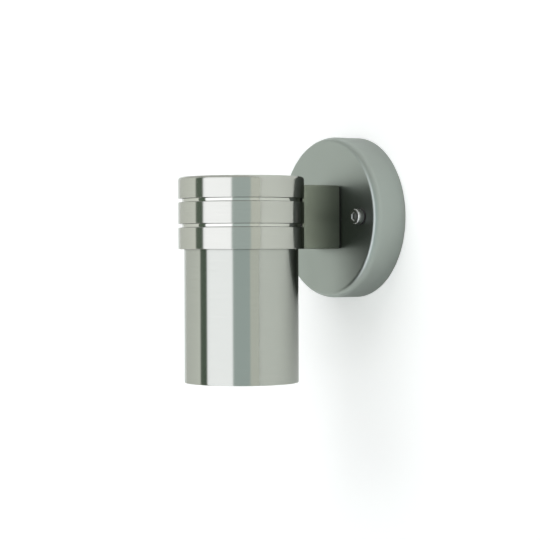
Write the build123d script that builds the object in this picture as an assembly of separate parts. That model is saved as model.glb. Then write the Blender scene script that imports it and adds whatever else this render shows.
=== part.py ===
from build123d import *
import os
from math import radians, tan

# A tube wall light: a round canopy on the wall, a short rectangular arm and a grooved collar that
# carries a tube pointing down. Millimetres, +Z up, the wall is the plane Y = 0 and the light
# stands out from it towards -Y. The origin is the canopy's centre on the wall.

# Canopy, a deep-drawn round cup
canopy_r = 46.0
canopy_depth = 21.0
canopy_wall = 1.0
canopy_shoulder_r = 7.0
canopy_shoulder_drop = 5.0  # from the face to the straight side
canopy_face_round = 1.0  # where the flat face meets the shoulder
canopy_gasket_w = 3.5
canopy_gasket_t = 3.0
canopy_wire_hole_r = 5.5

# Layout
tube_axis_out = 80.0  # wall to the tube's axis

# Collar, turned from bar, with grooves between equal rings
collar_wall = 3.25  # outside the tube
collar_rise = 4.0  # above the arm
collar_rings = 3
groove_w = 2.0
groove_depth = 2.2
collar_top_round = 1.8
edge_break = 0.25
collar_roof_t = 3.0
collar_upper_wall = 5.0
boss_r = 5.5
boss_drop = 2.0

# Tube, lens and their rings
tube_r = 31.75
tube_wall = 1.5
tube_bottom = -92.0
tube_top = 2.0  # above the arm's middle
thread_clearance = 0.08
tube_seal_t = 1.3
tube_seal_gap = 0.1
seal_side_gap = 0.3
mouth_recess = 4.5
lens_ring_t = 3.0
lens_ring_w = 3.0
lens_t = 3.0
lens_gasket_lip = 1.0
lens_gasket_w = 3.4
lens_cover_w = 2.0  # how far the gasket reaches over the glass
lens_seat_t = 1.5
lens_seat_w = 3.2
slip_fit = 0.05  # between pieces that are fitted into one another and stay put

# Arm, a rectangular tube whose head end is coped to the collar
arm_w = 27.0
arm_h = 36.0
arm_wall = 1.5
arm_corner_r = 1.5
arm_end_round = 0.6
arm_gasket_t = 0.6
arm_gasket_inset = 0.6
arm_plate_t = 3.0
arm_screw_margin = 5.5  # hole's middle to the arm's inside
plate_wire_hole_r = 5.0
saddle_t = 5.0
head_hole_margin = 5.5  # leads and screws pass into the collar above the tube's end
head_screw_margin = 3.2
head_hole_r = 4.3
grommet_wall = 0.8
grommet_flange_r = 4.9
grommet_flange_t = 1.5

# Wall bracket, a joggled strap with two tabs
strap_t = 2.0
strap_w = 18.0
plateau_half = 10.0
plateau_rise = 3.0
foot_start = 13.0
strap_ramp = 3.0
strap_end_rise = 8.0
strap_end_margin = 7.0
strap_bend_clearance = 0.5
slot_length = 10.0
slot_w = 4.6
bush_r = 4.5
bush_drop = 3.0
tab_w = 16.0
tab_end_margin = 6.5
entry_hole_r = 6.0
cable_hole_r = 4.0
entry_flange_r = 8.0
entry_flange_t = 1.5

# Cap screws that hold the canopy to the bracket
cap_screw_inset = 14.0  # from the canopy's edge
cap_screw_r = 2.5
cap_head_r = 4.25
cap_head_h = 4.0
cap_socket_af = 4.0
cap_socket_depth = 2.0
cap_tip_inset = 0.6  # the tip ends this far inside the bush
screw_seal_r = 4.75
screw_seal_t = 0.6
running_fit = 0.05
canopy_hole_gap = 0.25

# Other fasteners
m4_r = 2.0
m4_head_r = 4.0
m4_head_h = 2.6
m4_low_head_r = 3.8
m4_low_head_h = 2.2
m3_r = 1.5
m3_head_r = 2.8
m3_head_h = 2.0
m3_nut_af = 5.5
m3_nut_h = 2.4
clearance_hole_gap = 0.25
cross_recess_w = 0.9
cross_recess_depth = 1.3
spot_face_gap = 0.4
washer_t = 0.6
lug_t = 0.8
lug_ring_r = 4.0
lug_barrel_r = 1.9
lug_barrel_length = 5.0

# Terminal block, two poles
terminal_w = 22.0
terminal_h = 17.0
terminal_d = 13.0
terminal_round = 1.0
terminal_gap = 7.0  # strap edge to the block
terminal_pole_x = 5.5
insert_r = 2.6
insert_bore_r = 1.6
insert_recess = 1.0
insert_out = 6.0  # tab face to the insert's axis
terminal_screw_up = 4.2
terminal_screw_r = 1.45
terminal_well_r = 1.9
terminal_screw_l = 4.5
terminal_slot_w = 0.6
terminal_head_seat = 7.0

# Lampholder and its bracket
holder_top = 3.0
holder_h = 13.0
holder_r = 13.5
ear_x = 17.5
ear_r = 5.0
ear_t = 4.0
holder_floor_t = 3.0
strip_t = 1.2
strip_w = 10.0
leg_x = 12.0
strip_end_margin = 4.0
pin_circle_r = 5.0
pin_r = 1.6
pin_head_r = 2.5
pin_head_h = 2.8
pin_gap = 0.1
slot_side_gap = 0.25
channel_side_gap = 0.3
insertion_gap = 0.3
contact_t = 0.6
contact_gap = 0.3
lock_angle = 17.0

# Lamp, 50 mm reflector type with a twist-lock base
lamp_gap = 0.3
lamp_base_r = 12.0
lamp_base_h = 9.0
lamp_skirt_r = 14.0
lamp_skirt_h = 5.0
lamp_r = 25.0
lamp_length = 47.5
lamp_rim_h = 4.0
reflector_t = 1.3
reflector_bulge = 3.4
capsule_r = 4.5
capsule_length = 18.0
front_glass_t = 1.6
front_glass_recess = 1.0

# Leads
lead_r = 1.0
lead_hole_gap = 0.3
bundle_x = 1.3
bundle_up = 0.75
bundle_down = 1.5
bend_share = 0.45  # share of the shorter run that an arc may use
terminal_lead_in = 5.0  # straight length inside and below the terminal block
pole_turn_x = 3.4
pole_turn_up = 3.5
pole_turn_out = 17.0
pole_arm_in = 1.2
pole_saddle_gap = 6.0
pole_head_in = 2.0
pole_fan_x = 3.2
pole_fan_down = 0.4
pole_fan_in = 14.0
pole_drop_x = 4.9
pole_drop_down = 2.0
pole_drop_gap = 5.0
pole_holder_gap = 2.0
lug_lead_in = 6.0
earth_loop_x = 13.5
earth_loop_down = 10.0
earth_loop_out = 13.0
earth_turn_x = 3.5
earth_turn_down = 3.6
earth_turn_out = 18.5
earth_arm_in = 2.2
earth_saddle_gap = 5.0
earth_head_in = 6.0
head_lug_lead_in = 7.0

# Places that follow from the sizes above
ROOM = Plane((0, 0, 0), x_dir=(1, 0, 0), z_dir=(0, -1, 0))  # X across, Y up, Z out of the wall
HEAD = Pos(0, -tube_axis_out, 0)
STANDING = (Align.CENTER, Align.CENTER, Align.MIN)
tube_bore_r = tube_r - tube_wall
collar_r = tube_r + collar_wall
collar_top = arm_h / 2 + collar_rise
collar_bottom = -arm_h / 2
collar_upper_bore_r = collar_r - collar_upper_wall
collar_ceiling = collar_top - collar_roof_t
collar_shoulder = tube_top + tube_seal_t + 2 * tube_seal_gap
arm_start = canopy_depth + arm_gasket_t
arm_inner_w = arm_w - 2 * arm_wall
arm_inner_h = arm_h - 2 * arm_wall
arm_screw_up = arm_inner_h / 2 - arm_screw_margin
head_hole_up = arm_inner_h / 2 - head_hole_margin
head_screw_x = arm_inner_w / 2 - head_screw_margin
saddle_start = tube_axis_out - collar_r - saddle_t
head_screw_seat = tube_axis_out - collar_upper_bore_r
strap_face = plateau_rise + strap_t
cap_screw_x = canopy_r - cap_screw_inset
strap_end_x = cap_screw_x + strap_end_margin
strap_end_start = cap_screw_x - bush_r - strap_bend_clearance
foot_end = strap_end_start - strap_ramp
slot_x = foot_start + slot_length / 2
bush_back = strap_end_rise - bush_drop
cap_screw_seat = canopy_depth + screw_seal_t
cap_screw_length = cap_screw_seat - bush_back - cap_tip_inset
terminal_up = strap_w / 2 + terminal_gap + terminal_h / 2
tab_up = terminal_up + tab_end_margin
earth_up = -(strap_w / 2 + tab_end_margin)
tab_down = tab_end_margin - earth_up
lens_ring_bottom = tube_bottom + mouth_recess
lens_gasket_bottom = lens_ring_bottom + lens_ring_t
lens_bottom = lens_gasket_bottom + lens_gasket_lip
lens_seat_bottom = lens_bottom + lens_t + lens_gasket_lip
lens_r = tube_bore_r - slip_fit - lens_gasket_w + lens_cover_w
holder_bottom = holder_top - holder_h
channel_bottom = holder_bottom + holder_floor_t
channel_h = pin_gap + pin_head_h + contact_gap + contact_t
contact_bottom = channel_bottom + channel_h - contact_t
web_top = collar_ceiling - boss_drop
lamp_top = holder_bottom - lamp_gap
lamp_face = lamp_top - lamp_length
lamp_neck = lamp_top - lamp_base_h - lamp_skirt_h


def disc(radius, height):
    return Cylinder(radius, height, align=STANDING)


def ring(outer_r, inner_r, height):
    return disc(outer_r, height) - disc(inner_r, height)


def mirrored_x(x):
    return (-x, x)


def turned(points):
    """A solid of revolution about Z from the closed outline of (radius, height) points."""
    outline = Plane.XZ * make_face(Polyline(*points, close=True))
    return revolve(outline, axis=Axis.Z)


def cup(radius, height, shoulder):
    body = disc(radius, height)
    return fillet(body.edges().filter_by(GeomType.CIRCLE).group_by(Axis.Z)[-1], shoulder)


def bent_strip(points, thickness, width, bend_r, side):
    """A strip bent along the line of points in its own XY plane, its width centred along Z."""
    path = FilletPolyline(*points, radius=bend_r)
    outline = make_face(path.offset_2d(thickness, side=side, closed=True))
    return extrude(outline, amount=width / 2, both=True)


def cross_recess(head_r, head_h):
    arm = Box(head_r, cross_recess_w, cross_recess_depth)
    return Pos(0, 0, head_h - cross_recess_depth / 2) * (arm + Rot(0, 0, 90) * arm)


def pan_screw(shank_r, length, head_r, head_h):
    """A cross-recess screw seated at Z = 0, its head up."""
    head = disc(head_r, head_h)
    head = fillet(head.edges().group_by(Axis.Z)[-1], head_h / 2)
    shank = Pos(0, 0, -length) * disc(shank_r, length)
    return head - cross_recess(head_r, head_h) + shank


def canopy_form(inset):
    """The canopy's outline moved in by inset: a flat face that cuts into the shoulder's curve."""
    radius = canopy_r - inset
    shoulder = canopy_shoulder_r - inset
    body = cup(radius, canopy_depth - canopy_shoulder_drop + shoulder, shoulder)
    return body & disc(radius, canopy_depth - inset)


def canopy():
    form = canopy_form(0)
    shell = fillet(form.edges().group_by(Axis.Z)[-1], canopy_face_round) - canopy_form(canopy_wall)
    for x in mirrored_x(cap_screw_x):
        shell -= Pos(x, 0, 0) * disc(cap_screw_r + canopy_hole_gap, canopy_depth)
    for up in mirrored_x(arm_screw_up):
        shell -= Pos(0, up, 0) * disc(m4_r + clearance_hole_gap, canopy_depth)
    return ROOM * (shell - disc(canopy_wire_hole_r, canopy_depth))


def canopy_gasket():
    outer = canopy_r - canopy_wall - slip_fit
    return ROOM * ring(outer, outer - canopy_gasket_w, canopy_gasket_t)


def wall_bracket():
    half = [
        (plateau_half, plateau_rise),
        (foot_start, 0),
        (foot_end, 0),
        (strap_end_start, strap_end_rise),
        (strap_end_x, strap_end_rise),
    ]
    line = [(-x, -out) for x, out in reversed(half)] + [(x, -out) for x, out in half]
    bracket = bent_strip(line, strap_t, strap_w, strap_t + strap_bend_clearance, Side.RIGHT)
    tab = Box(tab_w, tab_up + tab_down, strap_t, align=STANDING)
    bracket += ROOM * Pos(0, (tab_up - tab_down) / 2, plateau_rise) * tab
    for x in mirrored_x(cap_screw_x):
        bracket += ROOM * Pos(x, 0, bush_back) * disc(bush_r, bush_drop + strap_t)
        bracket -= ROOM * Pos(x, 0, 0) * disc(cap_screw_r + running_fit, canopy_depth)
    for x in mirrored_x(slot_x):
        bracket -= ROOM * Pos(x, 0, 0) * extrude(SlotOverall(slot_length, slot_w), canopy_depth)
    bracket -= ROOM * disc(entry_hole_r, canopy_depth)
    bracket -= ROOM * Pos(0, terminal_up, 0) * disc(m3_r + slip_fit, canopy_depth)
    bracket -= ROOM * Pos(0, earth_up, 0) * disc(m4_r + slip_fit, canopy_depth)
    return bracket


def cable_grommet():
    waist = entry_hole_r - slip_fit
    back = plateau_rise - entry_flange_t
    front = strap_face + entry_flange_t
    outline = [
        (cable_hole_r, back),
        (entry_flange_r, back),
        (entry_flange_r, plateau_rise),
        (waist, plateau_rise),
        (waist, strap_face),
        (entry_flange_r, strap_face),
        (entry_flange_r, front),
        (cable_hole_r, front),
    ]
    return ROOM * turned(outline)


def cap_screw(x):
    head = disc(cap_head_r, cap_head_h)
    head = chamfer(head.edges().group_by(Axis.Z)[-1], edge_break)
    socket = extrude(RegularPolygon(cap_socket_af / 2, 6, major_radius=False), cap_socket_depth)
    screw = head - Pos(0, 0, cap_head_h - cap_socket_depth) * socket
    screw += Pos(0, 0, -cap_screw_length) * disc(cap_screw_r, cap_screw_length)
    return ROOM * Pos(x, 0, cap_screw_seat) * screw


def screw_seal(x):
    return ROOM * Pos(x, 0, canopy_depth) * ring(screw_seal_r, cap_screw_r + running_fit, screw_seal_t)


def terminal_place(x, up, out):
    return ROOM * Pos(x, terminal_up + up, strap_face + out)


def terminal_block():
    body = Box(terminal_w, terminal_h, terminal_d, align=STANDING)
    body = fillet(body.edges().filter_by(Axis.Z), terminal_round)
    bore = Rot(90, 0, 0) * Cylinder(insert_r + slip_fit, terminal_h)
    for x in mirrored_x(terminal_pole_x):
        body -= Pos(x, 0, insert_out) * bore
        for up in mirrored_x(terminal_screw_up):
            body -= Pos(x, up, insert_out) * disc(terminal_well_r, terminal_d)
    body -= disc(m3_r + clearance_hole_gap, terminal_d)
    body -= Pos(0, 0, terminal_head_seat) * disc(m3_head_r + slip_fit, terminal_d)
    return terminal_place(0, 0, 0) * body


def terminal_inserts():
    length = terminal_h - 2 * insert_recess
    insert = Rot(90, 0, 0) * (Cylinder(insert_r, length) - Cylinder(insert_bore_r, length))
    for up in mirrored_x(terminal_screw_up):
        insert -= Pos(0, up, 0) * disc(terminal_screw_r + slip_fit, insert_r)
    return [terminal_place(x, 0, insert_out) * insert for x in mirrored_x(terminal_pole_x)]


def terminal_screws():
    screw = disc(terminal_screw_r, terminal_screw_l)
    slot = Box(2 * terminal_screw_r, terminal_slot_w, terminal_screw_r)
    screw -= Pos(0, 0, terminal_screw_l) * slot
    spots = [(x, up) for x in mirrored_x(terminal_pole_x) for up in mirrored_x(terminal_screw_up)]
    return [terminal_place(x, up, insert_out + lead_r + slip_fit) * screw for x, up in spots]


def terminal_fixing_screw():
    length = terminal_head_seat + strap_t
    return terminal_place(0, 0, terminal_head_seat) * pan_screw(m3_r, length, m3_head_r, m3_head_h)


def earth_lug():
    """A ring lug lying at Z = 0, its barrel towards +X."""
    lug = disc(lug_ring_r, lug_t)
    neck = Pos((lug_ring_r + lug_barrel_r) / 2, 0, lug_t / 2) * Box(lug_ring_r, 2 * lug_barrel_r, lug_t)
    barrel = Rot(0, 90, 0) * disc(lug_barrel_r, lug_barrel_length)
    bore = Rot(0, 90, 0) * disc(lead_r + slip_fit, lug_barrel_length)
    seat = Pos(lug_ring_r + slip_fit, 0, lug_barrel_r)
    return lug + neck - disc(m4_r + slip_fit, lug_t) + seat * barrel - seat * bore


def earth_lugs():
    wall_lug = ROOM * Pos(0, earth_up, strap_face) * Rot(0, 0, 180) * earth_lug()
    head_lug = HEAD * Pos(0, 0, web_top - strip_t) * Rot(180, 0, 90) * earth_lug()
    return [wall_lug, head_lug]


def earth_washer():
    return ROOM * Pos(0, earth_up, strap_face + lug_t) * ring(lug_ring_r, m4_r + slip_fit, washer_t)


def earth_screw():
    seat = strap_face + lug_t + washer_t
    screw = pan_screw(m4_r, seat - plateau_rise + washer_t, m4_head_r, m4_head_h)
    return ROOM * Pos(0, earth_up, seat) * screw


def arm():
    blank = extrude(RectangleRounded(arm_w, arm_h, arm_corner_r), tube_axis_out - arm_start)
    blank = fillet(blank.edges().group_by(Axis.Z)[0], arm_end_round)
    blank -= Box(arm_inner_w, arm_inner_h, 2 * tube_axis_out)
    return ROOM * Pos(0, 0, arm_start) * blank - collar_envelope()


def collar_envelope():
    height = collar_top - collar_bottom
    return HEAD * Pos(0, 0, collar_bottom) * disc(collar_r + slip_fit, height)


def arm_gasket():
    width = arm_w - 2 * arm_gasket_inset
    height = arm_h - 2 * arm_gasket_inset
    sheet = extrude(RectangleRounded(width, height, arm_corner_r), arm_gasket_t)
    sheet -= disc(canopy_wire_hole_r, arm_gasket_t)
    for up in mirrored_x(arm_screw_up):
        sheet -= Pos(0, up, 0) * disc(m4_r + clearance_hole_gap, arm_gasket_t)
    return ROOM * Pos(0, 0, canopy_depth) * sheet


def arm_plug(start, end):
    """A block that fills the arm's inside between two distances from the wall."""
    width = arm_inner_w - 2 * slip_fit
    height = arm_inner_h - 2 * slip_fit
    return ROOM * Pos(0, 0, start) * Box(width, height, end - start, align=STANDING)


def arm_wall_plate():
    plate = arm_plug(arm_start, arm_start + arm_plate_t)
    for up in mirrored_x(arm_screw_up):
        plate -= ROOM * Pos(0, up, arm_start) * disc(m4_r + slip_fit, arm_plate_t)
    return plate - ROOM * Pos(0, 0, arm_start) * disc(plate_wire_hole_r, arm_plate_t)


def arm_wall_screws():
    inner_face = canopy_depth - canopy_wall
    length = arm_start + arm_plate_t + washer_t - inner_face
    screw = Rot(180, 0, 0) * pan_screw(m4_r, length, m4_head_r, m4_head_h)
    return [ROOM * Pos(0, up, inner_face) * screw for up in mirrored_x(arm_screw_up)]


def arm_saddle():
    saddle = arm_plug(saddle_start, tube_axis_out) - collar_envelope()
    saddle -= ROOM * Pos(0, head_hole_up, 0) * disc(head_hole_r, tube_axis_out)
    for x in mirrored_x(head_screw_x):
        saddle -= ROOM * Pos(x, head_hole_up, 0) * disc(m4_r + slip_fit, tube_axis_out)
    return saddle


def arm_head_screws():
    length = head_screw_seat - saddle_start
    screw = pan_screw(m4_r, length, m4_low_head_r, m4_low_head_h)
    return [ROOM * Pos(x, head_hole_up, head_screw_seat) * screw for x in mirrored_x(head_screw_x)]


def head_grommet():
    outer = head_hole_r - slip_fit
    length = tube_axis_out - collar_upper_bore_r - saddle_start
    bush = Pos(0, 0, -grommet_flange_t) * ring(grommet_flange_r, outer - grommet_wall, grommet_flange_t)
    bush += ring(outer, outer - grommet_wall, length)
    return ROOM * Pos(0, head_hole_up, saddle_start) * bush


def collar():
    ring_h = (collar_top - collar_bottom - (collar_rings - 1) * groove_w) / collar_rings
    floor_r = collar_r - groove_depth
    outline = [(0, collar_bottom)]
    for n in range(collar_rings):
        low = collar_bottom + n * (ring_h + groove_w)
        high = low + ring_h
        outline += [(collar_r - edge_break, low), (collar_r, low + edge_break)]
        if n < collar_rings - 1:
            outline += [(collar_r, high - edge_break), (collar_r - edge_break, high)]
            outline += [(floor_r, high), (floor_r, high + groove_w)]
    outline += [(collar_r, collar_top), (0, collar_top)]
    body = turned(outline)
    body = fillet(body.edges().filter_by(GeomType.CIRCLE).group_by(Axis.Z)[-1], collar_top_round)
    lower_bore = disc(tube_r + thread_clearance, collar_shoulder - collar_bottom)
    upper_bore = disc(collar_upper_bore_r, collar_ceiling - collar_shoulder)
    body -= Pos(0, 0, collar_bottom) * lower_bore
    body -= Pos(0, 0, collar_shoulder) * upper_bore
    body += Pos(0, 0, web_top) * disc(boss_r, boss_drop)
    body -= Pos(0, 0, web_top) * disc(m4_r + slip_fit, boss_drop + collar_roof_t / 2)
    body = HEAD * body
    body -= ROOM * Pos(0, head_hole_up, 0) * disc(head_hole_r, tube_axis_out)
    spot_depth = tube_axis_out - head_screw_seat
    spot_face = disc(m4_low_head_r + spot_face_gap, spot_depth)
    for x in mirrored_x(head_screw_x):
        body -= ROOM * Pos(x, head_hole_up, 0) * disc(m4_r + clearance_hole_gap, tube_axis_out)
        body -= ROOM * Pos(x, head_hole_up, head_screw_seat) * spot_face
    return body


def head_ring(outer_r, inner_r, bottom, height):
    return HEAD * Pos(0, 0, bottom) * ring(outer_r, inner_r, height)


def tube():
    body = ring(tube_r, tube_bore_r, tube_top - tube_bottom)
    body = chamfer(body.edges().group_by(Axis.Z)[0], edge_break)
    return HEAD * Pos(0, 0, tube_bottom) * body


def tube_seal():
    return head_ring(tube_r - seal_side_gap, tube_bore_r, tube_top + tube_seal_gap, tube_seal_t)


def lens():
    body = disc(lens_r - slip_fit, lens_t)
    body = chamfer(body.edges(), edge_break)
    return HEAD * Pos(0, 0, lens_bottom) * body


def lens_gasket():
    outer = tube_bore_r - slip_fit
    body = ring(outer, outer - lens_gasket_w, lens_t + 2 * lens_gasket_lip)
    body -= Pos(0, 0, lens_gasket_lip) * disc(lens_r, lens_t)
    return HEAD * Pos(0, 0, lens_gasket_bottom) * body


def lens_ring():
    outer = tube_bore_r - slip_fit
    body = ring(outer, outer - lens_ring_w, lens_ring_t)
    inner_edge = body.edges().group_by(Axis.Z)[0].sort_by(SortBy.LENGTH)[0]
    body = chamfer(inner_edge, lens_ring_t / 3)
    notch = Box(2 * tube_bore_r, groove_w, edge_break * 4)
    return HEAD * Pos(0, 0, lens_ring_bottom) * (body - notch)


def lens_seat_ring():
    outer = tube_bore_r - slip_fit
    return head_ring(outer, outer - lens_seat_w, lens_seat_bottom, lens_seat_t)


def lampholder_bracket():
    foot = holder_top
    web = web_top - strip_t
    end = ear_x + strip_end_margin
    line = [(-end, foot), (-leg_x, foot), (-leg_x, web), (leg_x, web), (leg_x, foot), (end, foot)]
    strip = bent_strip(line, strip_t, strip_w, strip_t + slip_fit, Side.LEFT)
    strip = Rot(90, 0, 0) * strip
    strip -= Pos(0, 0, web) * disc(m4_r + clearance_hole_gap, strip_t)
    for x in mirrored_x(ear_x):
        strip -= Pos(x, 0, foot) * disc(m3_r + clearance_hole_gap, strip_t)
    return HEAD * strip


def lampholder_bracket_screw():
    screw = Rot(180, 0, 0) * pan_screw(m4_r, lug_t + strip_t + boss_drop, m4_head_r, m4_head_h)
    return HEAD * Pos(0, 0, web_top - strip_t - lug_t) * screw


def lampholder():
    body = disc(holder_r, holder_h)
    ears = extrude(SlotOverall(2 * (ear_x + ear_r), 2 * ear_r), ear_t)
    body += Pos(0, 0, holder_h - ear_t) * ears
    for start in (-lock_angle, 180 - lock_angle):
        arc = CenterArc((0, 0), pin_circle_r, start, lock_angle)
        body -= extrude(SlotArc(arc, 2 * (pin_r + slot_side_gap)), holder_floor_t)
        channel = extrude(SlotArc(arc, 2 * (pin_head_r + channel_side_gap)), channel_h)
        body -= Pos(0, 0, holder_floor_t) * channel
        entry = PolarLocations(pin_circle_r, 1, start_angle=start)
        body -= entry * disc(pin_head_r + insertion_gap, holder_floor_t)
    for x in mirrored_x(pin_circle_r):
        body -= Pos(x, 0, holder_floor_t) * disc(lead_r + lead_hole_gap, holder_h)
    for x in mirrored_x(ear_x):
        body -= Pos(x, 0, 0) * disc(m3_r + clearance_hole_gap, holder_h)
    return HEAD * Pos(0, 0, holder_bottom) * body


def lampholder_contacts():
    contacts = []
    for start in (-lock_angle, 180 - lock_angle):
        arc = CenterArc((0, 0), pin_circle_r, start, lock_angle)
        leaf = extrude(SlotArc(arc, 2 * pin_head_r), contact_t)
        contacts.append(HEAD * Pos(0, 0, contact_bottom) * leaf)
    return contacts


def lampholder_screws():
    length = ear_t + strip_t + m3_nut_h
    screw = Rot(180, 0, 0) * pan_screw(m3_r, length, m3_head_r, m3_head_h)
    return [HEAD * Pos(x, 0, holder_top - ear_t) * screw for x in mirrored_x(ear_x)]


def lampholder_nuts():
    nut = extrude(RegularPolygon(m3_nut_af / 2, 6, major_radius=False), m3_nut_h)
    nut -= disc(m3_r + slip_fit, m3_nut_h)
    return [HEAD * Pos(x, 0, holder_top + strip_t) * nut for x in mirrored_x(ear_x)]


def lamp_base():
    outline = [
        (0, lamp_top),
        (lamp_base_r, lamp_top),
        (lamp_base_r, lamp_top - lamp_base_h),
        (lamp_skirt_r, lamp_neck),
        (0, lamp_neck),
    ]
    return HEAD * turned(outline)


def lamp_pins():
    top = channel_bottom + pin_gap
    pin = Pos(0, 0, lamp_top) * disc(pin_r, top - lamp_top) + Pos(0, 0, top) * disc(pin_head_r, pin_head_h)
    return [HEAD * Pos(x, 0, 0) * pin for x in mirrored_x(pin_circle_r)]


def reflector_curve(inset):
    """The reflector's side from the neck to the rim, moved in by inset."""
    neck = Vector(lamp_skirt_r - inset, lamp_neck)
    rim = Vector(lamp_r - inset, lamp_face + lamp_rim_h)
    return SagittaArc(neck, rim, reflector_bulge)


def lamp_reflector():
    outer = reflector_curve(0)
    inner = reflector_curve(reflector_t)
    rim = Polyline(outer @ 1, (lamp_r, lamp_face), (lamp_r - reflector_t, lamp_face), inner @ 1)
    neck = Line(inner @ 0, outer @ 0)
    return HEAD * revolve(Plane.XZ * make_face([outer, rim, inner, neck]), axis=Axis.Z)


def lamp_capsule():
    body = cup(capsule_r, capsule_length, capsule_r * 0.9)
    return HEAD * Pos(0, 0, lamp_neck) * Rot(180, 0, 0) * body


def lamp_front_glass():
    radius = lamp_r - reflector_t - slip_fit
    return HEAD * Pos(0, 0, lamp_face + front_glass_recess) * disc(radius, front_glass_t)


def arc_radii(points):
    """The largest arcs that the runs on each side of every corner leave room for."""
    radii = []
    for before, corner, after in zip(points, points[1:], points[2:]):
        run_in = Vector(corner) - Vector(before)
        run_out = Vector(after) - Vector(corner)
        turn = radians(run_in.get_angle(run_out))
        radii.append(bend_share * min(run_in.length, run_out.length) / tan(turn / 2))
    return radii


def lead(points):
    """A lead through points given as (across, up, out of the wall)."""
    path = FilletPolyline(*points, radius=arc_radii(points))
    section = Plane(path @ 0, z_dir=path % 0) * Circle(lead_r)
    return ROOM * sweep(section, path=path)


def pole_lead(side):
    """The live or neutral lead, from its terminal through the arm to its contact in the holder."""
    up_in_collar = head_hole_up + bundle_up
    bundle = side * bundle_x
    pin = side * pin_circle_r
    terminal = (side * terminal_pole_x, strap_face + insert_out)
    block_bottom = terminal_up - terminal_h / 2
    return lead([
        (terminal[0], block_bottom + terminal_lead_in, terminal[1]),
        (terminal[0], block_bottom - terminal_lead_in, terminal[1]),
        (side * pole_turn_x, pole_turn_up, pole_turn_out),
        (bundle, bundle_up, arm_start + pole_arm_in),
        (bundle, up_in_collar, saddle_start - pole_saddle_gap),
        (bundle, up_in_collar, head_screw_seat + pole_head_in),
        (side * pole_fan_x, up_in_collar - pole_fan_down, head_screw_seat + pole_fan_in),
        (side * pole_drop_x, up_in_collar - pole_drop_down, tube_axis_out - pole_drop_gap),
        (pin, holder_top + pole_holder_gap, tube_axis_out),
        (pin, contact_bottom + contact_t, tube_axis_out),
    ])


def earth_wire():
    up_in_collar = head_hole_up - bundle_down
    barrel_middle = lug_ring_r + lug_barrel_length / 2
    lug_out = strap_face + lug_barrel_r
    head_lug_up = web_top - strip_t - lug_barrel_r
    return lead([
        (-barrel_middle, earth_up, lug_out),
        (-barrel_middle - lug_lead_in, earth_up, lug_out),
        (-earth_loop_x, -earth_loop_down, earth_loop_out),
        (-earth_turn_x, -earth_turn_down, earth_turn_out),
        (0, -bundle_down, arm_start + earth_arm_in),
        (0, up_in_collar, saddle_start - earth_saddle_gap),
        (0, up_in_collar, head_screw_seat + earth_head_in),
        (0, head_lug_up, tube_axis_out - barrel_middle - head_lug_lead_in),
        (0, head_lug_up, tube_axis_out - barrel_middle),
    ])


PIECES = {
    "canopy": canopy(),
    "canopy_gasket": canopy_gasket(),
    "wall_bracket": wall_bracket(),
    "cable_grommet": cable_grommet(),
    "cap_screw_left": cap_screw(-cap_screw_x),
    "cap_screw_right": cap_screw(cap_screw_x),
    "screw_seal_left": screw_seal(-cap_screw_x),
    "screw_seal_right": screw_seal(cap_screw_x),
    "terminal_block": terminal_block(),
    "terminal_inserts": terminal_inserts(),
    "terminal_screws": terminal_screws(),
    "terminal_fixing_screw": terminal_fixing_screw(),
    "earth_lugs": earth_lugs(),
    "earth_washer": earth_washer(),
    "earth_screw": earth_screw(),
    "arm": arm(),
    "arm_gasket": arm_gasket(),
    "arm_wall_plate": arm_wall_plate(),
    "arm_wall_screws": arm_wall_screws(),
    "arm_saddle": arm_saddle(),
    "arm_head_screws": arm_head_screws(),
    "head_grommet": head_grommet(),
    "collar": collar(),
    "tube": tube(),
    "tube_seal": tube_seal(),
    "lens_seat_ring": lens_seat_ring(),
    "lens": lens(),
    "lens_gasket": lens_gasket(),
    "lens_ring": lens_ring(),
    "lampholder_bracket": lampholder_bracket(),
    "lampholder_bracket_screw": lampholder_bracket_screw(),
    "lampholder": lampholder(),
    "lampholder_contacts": lampholder_contacts(),
    "lampholder_screws": lampholder_screws(),
    "lampholder_nuts": lampholder_nuts(),
    "lamp_base": lamp_base(),
    "lamp_pins": lamp_pins(),
    "lamp_reflector": lamp_reflector(),
    "lamp_capsule": lamp_capsule(),
    "lamp_front_glass": lamp_front_glass(),
    "live_wire": pole_lead(-1),
    "neutral_wire": pole_lead(1),
    "earth_wire": earth_wire(),
}

os.makedirs("parts", exist_ok=True)
for name, piece in PIECES.items():
    shape = Compound(children=piece) if isinstance(piece, list) else piece
    export_step(shape, f"parts/{name}.step")
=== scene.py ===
import math

import bmesh
import bpy
from bpy.props import FloatProperty, FloatVectorProperty, IntProperty, PointerProperty
from mathutils import Matrix, Vector


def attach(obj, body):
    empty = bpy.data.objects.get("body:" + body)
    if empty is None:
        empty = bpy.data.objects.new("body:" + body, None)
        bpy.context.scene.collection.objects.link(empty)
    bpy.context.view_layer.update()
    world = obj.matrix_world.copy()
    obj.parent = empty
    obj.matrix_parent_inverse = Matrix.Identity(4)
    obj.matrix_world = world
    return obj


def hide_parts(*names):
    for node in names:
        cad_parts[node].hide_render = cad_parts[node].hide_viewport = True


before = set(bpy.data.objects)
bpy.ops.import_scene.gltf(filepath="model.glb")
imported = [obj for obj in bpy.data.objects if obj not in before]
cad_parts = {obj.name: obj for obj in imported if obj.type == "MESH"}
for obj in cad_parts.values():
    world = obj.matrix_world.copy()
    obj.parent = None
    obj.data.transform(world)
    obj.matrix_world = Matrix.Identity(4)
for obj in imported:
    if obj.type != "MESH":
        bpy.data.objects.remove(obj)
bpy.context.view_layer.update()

bl_info = {
    "name": "Tube wall light",
    "version": (1, 0, 0),
    "blender": (4, 5, 0),
    "location": "View3D > Sidebar > Wall light",
    "description": "Models a tube wall light and its studio over the packed frame",
    "category": "Add Mesh",
}

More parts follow.
